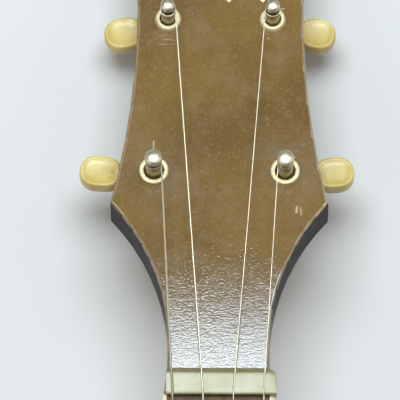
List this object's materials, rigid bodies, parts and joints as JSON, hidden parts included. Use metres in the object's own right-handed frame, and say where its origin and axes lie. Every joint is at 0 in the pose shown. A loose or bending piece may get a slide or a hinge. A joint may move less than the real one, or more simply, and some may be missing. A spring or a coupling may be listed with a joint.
{
  "type": "banjo",
  "caption": "Open-back banjo with a flared peghead, geared tuners, a fretted neck, a round rim, head, bracket hooks, bridge and hinged tailpiece.",
  "frame": {"origin": "centre of the pot on the plane of the rim's back edge, which it rests on", "axes": "+Y along the neck to the headstock, +X the treble side, +Z out of the head"},
  "size_m": [0.3048, 0.9613, 0.0874],
  "materials": {
    "rim_wood": "gloss",
    "tone_ring_brass": "satin",
    "head_film": "matte",
    "hoop_aluminium": "satin",
    "nickel_plate": "gloss",
    "steel_screw": "satin",
    "rod_steel": "satin",
    "bridge_maple": "satin",
    "ebony": "satin",
    "neck_lacquer": "gloss",
    "cream_plastic": "gloss",
    "fretboard_wood": "satin",
    "fret_nickel": "gloss",
    "pearl_plastic": "gloss",
    "nut_plastic": "satin",
    "string_steel": "gloss",
    "wound_string": "satin",
    "button_plastic": "gloss",
    "tuner_steel": "satin",
    "gear_brass": "satin"
  },
  "bodies": {
    "root": {"bracket_bolts": "steel_screw", "bracket_hooks": "nickel_plate", "bracket_nuts": "nickel_plate", "bracket_shoes": "nickel_plate", "bridge": "bridge_maple", "bridge_cap": "ebony", "coordinator_rod_lower": "rod_steel", "coordinator_rod_upper": "rod_steel", "fifth_peg_collar": "nickel_plate", "fifth_string_nut": "nut_plastic", "flesh_hoop": "hoop_aluminium", "fretboard": "fretboard_wood", "fretboard_binding": "cream_plastic", "frets": "fret_nickel", "head": "head_film", "heel_cap": "cream_plastic", "neck": "neck_lacquer", "neck_hanger_bolts": "rod_steel", "nut": "nut_plastic", "position_dots": "pearl_plastic", "reinforcement_bar": "rod_steel", "rim": "rim_wood", "rod_nuts": "steel_screw", "string_1": "string_steel", "string_2": "string_steel", "string_3": "string_steel", "string_4": "wound_string", "string_5": "string_steel", "tailpiece_base": "nickel_plate", "tailpiece_bolt": "steel_screw", "tailpiece_bracket": "nickel_plate", "tailpiece_hinge_pin": "rod_steel", "tailpiece_nut": "steel_screw", "tension_hoop": "nickel_plate", "tone_ring": "tone_ring_brass", "tuner_ferrules": "nickel_plate", "tuner_plates": "nickel_plate", "tuner_screws": "steel_screw"},
    "tuner_1_key": {"tuner_1_worm_shaft": "tuner_steel", "tuner_1_button": "button_plastic"},
    "tuner_1_roller": {"tuner_1_post": "nickel_plate", "tuner_1_gear": "gear_brass"},
    "tuner_2_key": {"tuner_2_worm_shaft": "tuner_steel", "tuner_2_button": "button_plastic"},
    "tuner_2_roller": {"tuner_2_post": "nickel_plate", "tuner_2_gear": "gear_brass"},
    "tuner_3_key": {"tuner_3_worm_shaft": "tuner_steel", "tuner_3_button": "button_plastic"},
    "tuner_3_roller": {"tuner_3_post": "nickel_plate", "tuner_3_gear": "gear_brass"},
    "tuner_4_key": {"tuner_4_worm_shaft": "tuner_steel", "tuner_4_button": "button_plastic"},
    "tuner_4_roller": {"tuner_4_post": "nickel_plate", "tuner_4_gear": "gear_brass"},
    "fifth_peg": {"fifth_peg_shaft": "nickel_plate", "fifth_peg_winding": "string_steel", "fifth_peg_button": "button_plastic"},
    "tailpiece_lid": {"tailpiece_cover": "nickel_plate"}
  },
  "joints": [
    {"name": "tuner_1_turn", "type": "hinge", "parent": "root", "child": "tuner_1_key", "pos_m": [0.01938, 0.70448, 0.02592], "axis": [0.9963, 0.083, -0.0202], "continuous": true},
    {"name": "tuner_1_wind", "type": "hinge", "parent": "root", "child": "tuner_1_roller", "pos_m": [0.01985, 0.70401, 0.04713], "axis": [0, 0.2368, 0.9715], "continuous": true},
    {"name": "tuner_2_turn", "type": "hinge", "parent": "root", "child": "tuner_2_key", "pos_m": [0.01698, 0.75268, 0.01417], "axis": [0.9806, -0.1904, 0.0464], "continuous": true},
    {"name": "tuner_2_wind", "type": "hinge", "parent": "root", "child": "tuner_2_roller", "pos_m": [0.0159, 0.75229, 0.03536], "axis": [0, 0.2368, 0.9715], "continuous": true},
    {"name": "tuner_3_turn", "type": "hinge", "parent": "root", "child": "tuner_3_key", "pos_m": [-0.01698, 0.75268, 0.01417], "axis": [-0.9806, -0.1904, 0.0464], "continuous": true},
    {"name": "tuner_3_wind", "type": "hinge", "parent": "root", "child": "tuner_3_roller", "pos_m": [-0.0159, 0.75229, 0.03536], "axis": [0, 0.2368, 0.9715], "continuous": true},
    {"name": "tuner_4_turn", "type": "hinge", "parent": "root", "child": "tuner_4_key", "pos_m": [-0.01938, 0.70448, 0.02592], "axis": [-0.9963, 0.083, -0.0202], "continuous": true},
    {"name": "tuner_4_wind", "type": "hinge", "parent": "root", "child": "tuner_4_roller", "pos_m": [-0.01985, 0.70401, 0.04713], "axis": [0, 0.2368, 0.9715], "continuous": true},
    {"name": "fifth_peg_turn", "type": "hinge", "parent": "root", "child": "fifth_peg", "pos_m": [-0.0248, 0.48081, 0.05929], "axis": [-0.8192, 0.012, 0.5735], "continuous": true},
    {"name": "tailpiece_cover_open", "type": "hinge", "parent": "root", "child": "tailpiece_lid", "pos_m": [0, -0.1596, 0.08], "axis": [1, 0, 0], "range_deg": [0, 100]}
  ],
  "couplings": [
    {"joint": "tuner_1_wind", "follows": "tuner_1_turn", "ratio": 0.083333},
    {"joint": "tuner_2_wind", "follows": "tuner_2_turn", "ratio": 0.083333},
    {"joint": "tuner_3_wind", "follows": "tuner_3_turn", "ratio": -0.083333},
    {"joint": "tuner_4_wind", "follows": "tuner_4_turn", "ratio": -0.083333}
  ]
}
